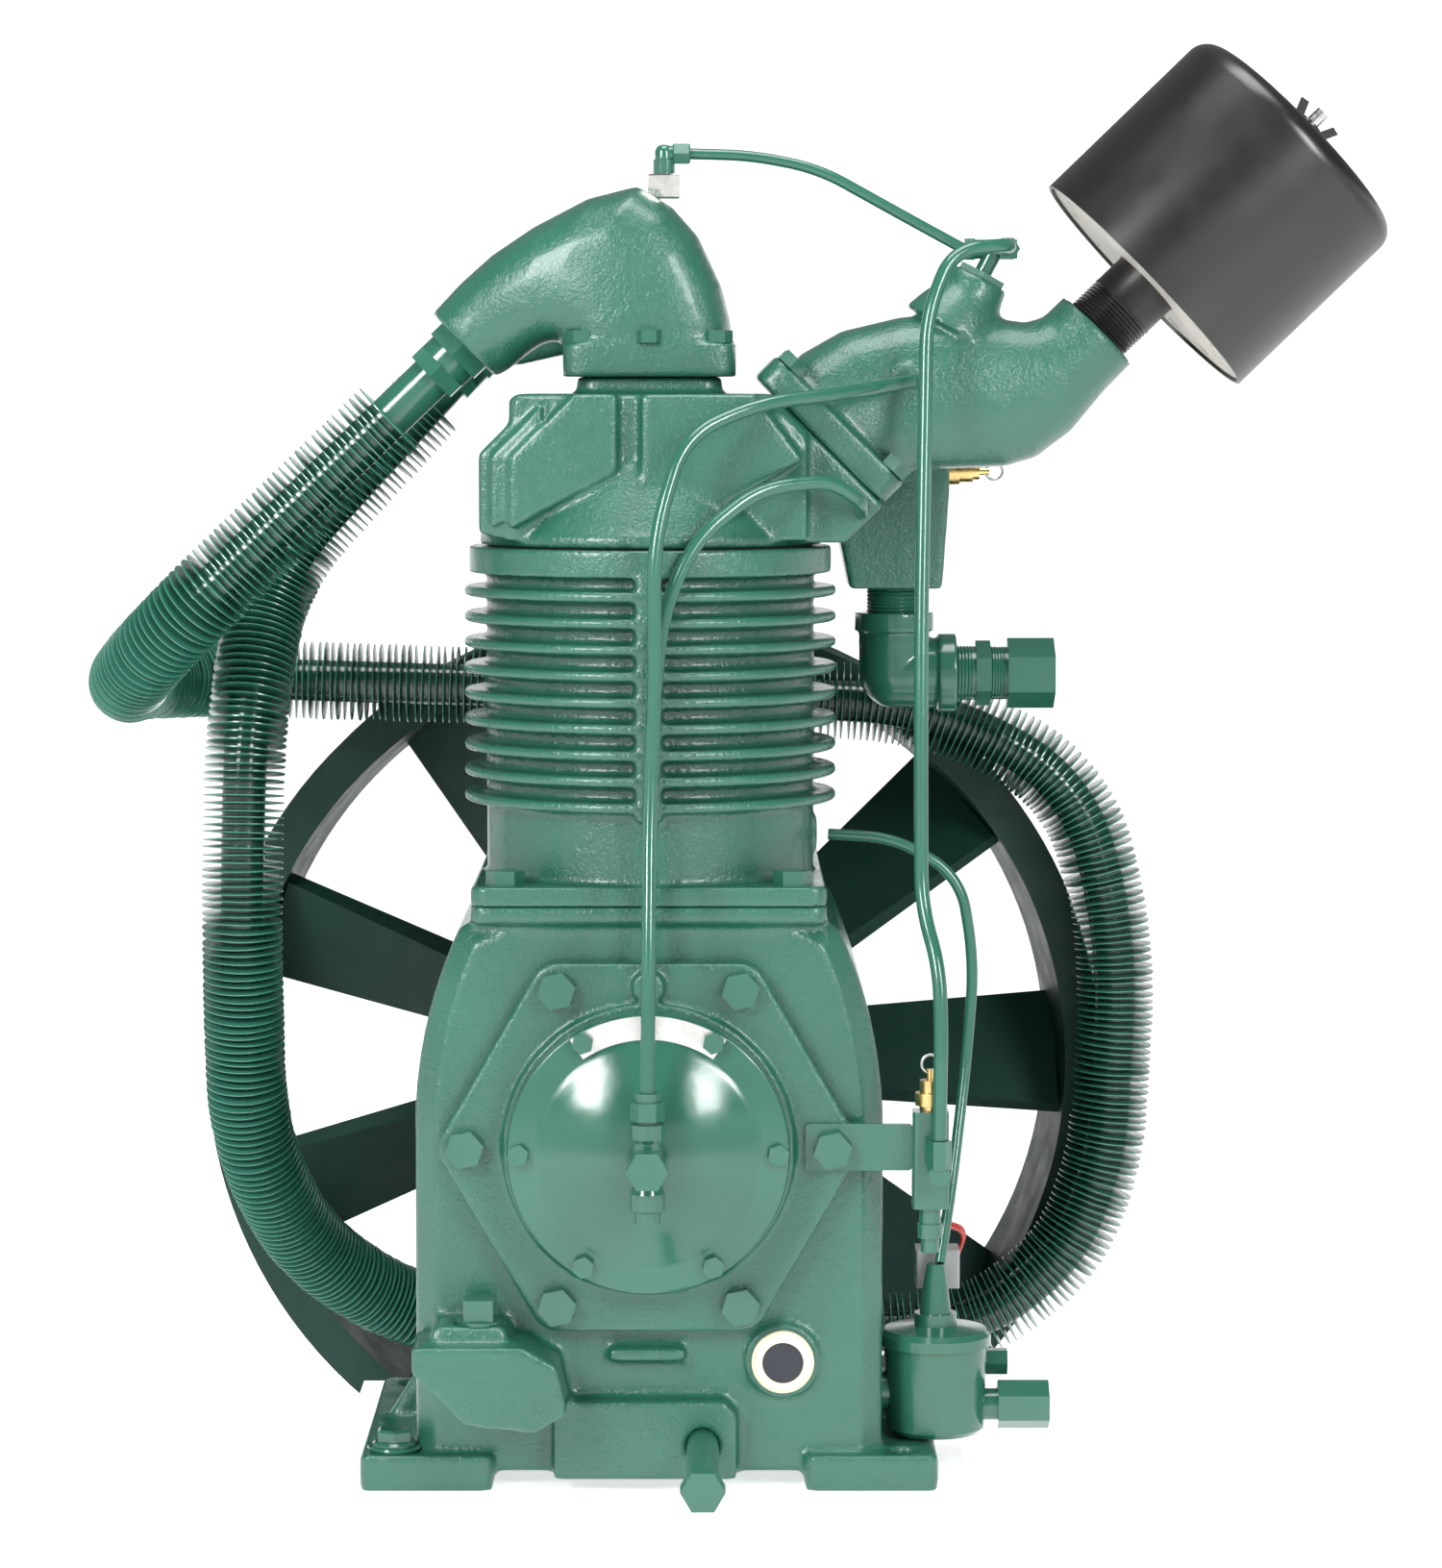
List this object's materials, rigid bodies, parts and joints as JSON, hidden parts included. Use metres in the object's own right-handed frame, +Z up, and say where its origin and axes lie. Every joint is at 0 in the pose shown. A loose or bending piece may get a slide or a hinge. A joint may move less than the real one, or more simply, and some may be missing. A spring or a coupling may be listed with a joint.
{
  "type": "air compressor pump",
  "caption": "Belt-driven two-stage air compressor pump with finned cylinders, finned intercooler tube, intake filter and fan flywheel.",
  "frame": {"origin": "centre of the four foot bolt holes, on the underside of the feet", "axes": "+Z up along the cylinders, +Y along the crankshaft towards the flywheel, +X to the right seen from the end cover"},
  "size_m": [0.7512, 0.518, 0.8948],
  "materials": {
    "enamel": "glossy enamel over castings",
    "dark_enamel": "glossy enamel, flywheel",
    "fin_enamel": "glossy enamel, thin fins",
    "black": "satin black",
    "steel": "machined",
    "zinc": "bright zinc plate",
    "brass": "machined",
    "cream": "satin",
    "lens": "clear, dark oil behind",
    "plate": "satin",
    "alloy": "machined",
    "gasket": "matt",
    "paper": "pleated",
    "box": "satin grey",
    "lead": "red insulation"
  },
  "bodies": {
    "pump": {"base_bolts": "enamel", "bearing_carrier": "enamel", "breather_line": "enamel", "carrier_bolts": "enamel", "check_valve": "zinc", "crankcase": "enamel", "cross_fitting": "enamel", "cylinder_block": "enamel", "cylinder_head": "enamel", "data_plate": "plate", "discharge_elbow": "enamel", "discharge_elbow_casting": "enamel", "discharge_manifold": "enamel", "discharge_nipple": "enamel", "drain_cap": "enamel", "drain_pipe": "enamel", "end_cover": "enamel", "end_cover_screws": "enamel", "filter_base": "plate", "filter_element": "paper", "filter_housing": "black", "filter_nipple": "black", "filter_stud": "steel", "head_gasket": "gasket", "intake_manifold": "enamel", "intercooler_fins": "fin_enamel", "intercooler_fittings": "enamel", "intercooler_tube": "fin_enamel", "main_bearings": "steel", "manifold_bolts": "enamel", "oil_fill_plug": "enamel", "oil_switch": "enamel", "oil_switch_box": "box", "oil_switch_cover": "enamel", "outlet_connector": "enamel", "outlet_nut": "enamel", "pilot_relief_valve": "brass", "pilot_valve": "enamel", "pistons": "alloy", "rear_bearing_cover": "enamel", "second_stage_inlet": "enamel", "second_stage_rod": "alloy", "sight_glass_bezel": "cream", "sight_glass_lens": "lens", "stage_relief_valve": "brass", "switch_leads": "lead", "switch_line": "enamel", "unloader_housing": "enamel", "unloader_line": "enamel", "upper_line": "enamel", "valve_bracket": "enamel", "vent_line": "enamel", "vent_tee": "enamel", "wrist_pins": "steel"},
    "crank": {"crankshaft": "steel", "flywheel": "dark_enamel"},
    "first_rod": {"first_stage_rod": "alloy"},
    "wing_nut": {"wing_nut": "black"},
    "stage_ring": {"stage_relief_ring": "steel"},
    "pilot_ring": {"pilot_relief_ring": "steel"}
  },
  "joints": [
    {"name": "crank_spin", "type": "hinge", "parent": "pump", "child": "crank", "pos_m": [0, 0, 0.194], "axis": [0, 1, 0], "continuous": true},
    {"name": "first_rod_pivot", "type": "hinge", "parent": "crank", "child": "first_rod", "pos_m": [0, -0.003, 0.2353], "axis": [0, 1, 0], "continuous": true},
    {"name": "wing_nut_turn", "type": "hinge", "parent": "pump", "child": "wing_nut", "pos_m": [0.37002, -0.003, 0.75858], "axis": [0.7193, 0, 0.6947], "continuous": true},
    {"name": "stage_ring_swing", "type": "hinge", "parent": "pump", "child": "stage_ring", "pos_m": [0.199, 0.113, 0.565], "axis": [0, 0, 1], "range_deg": [-75, 75]},
    {"name": "pilot_ring_swing", "type": "hinge", "parent": "pump", "child": "pilot_ring", "pos_m": [0.156, -0.112, 0.237], "axis": [1, 0, 0], "range_deg": [-75, 75]}
  ],
  "couplings": [
    {"joint": "first_rod_pivot", "follows": "crank_spin", "ratio": -1}
  ]
}
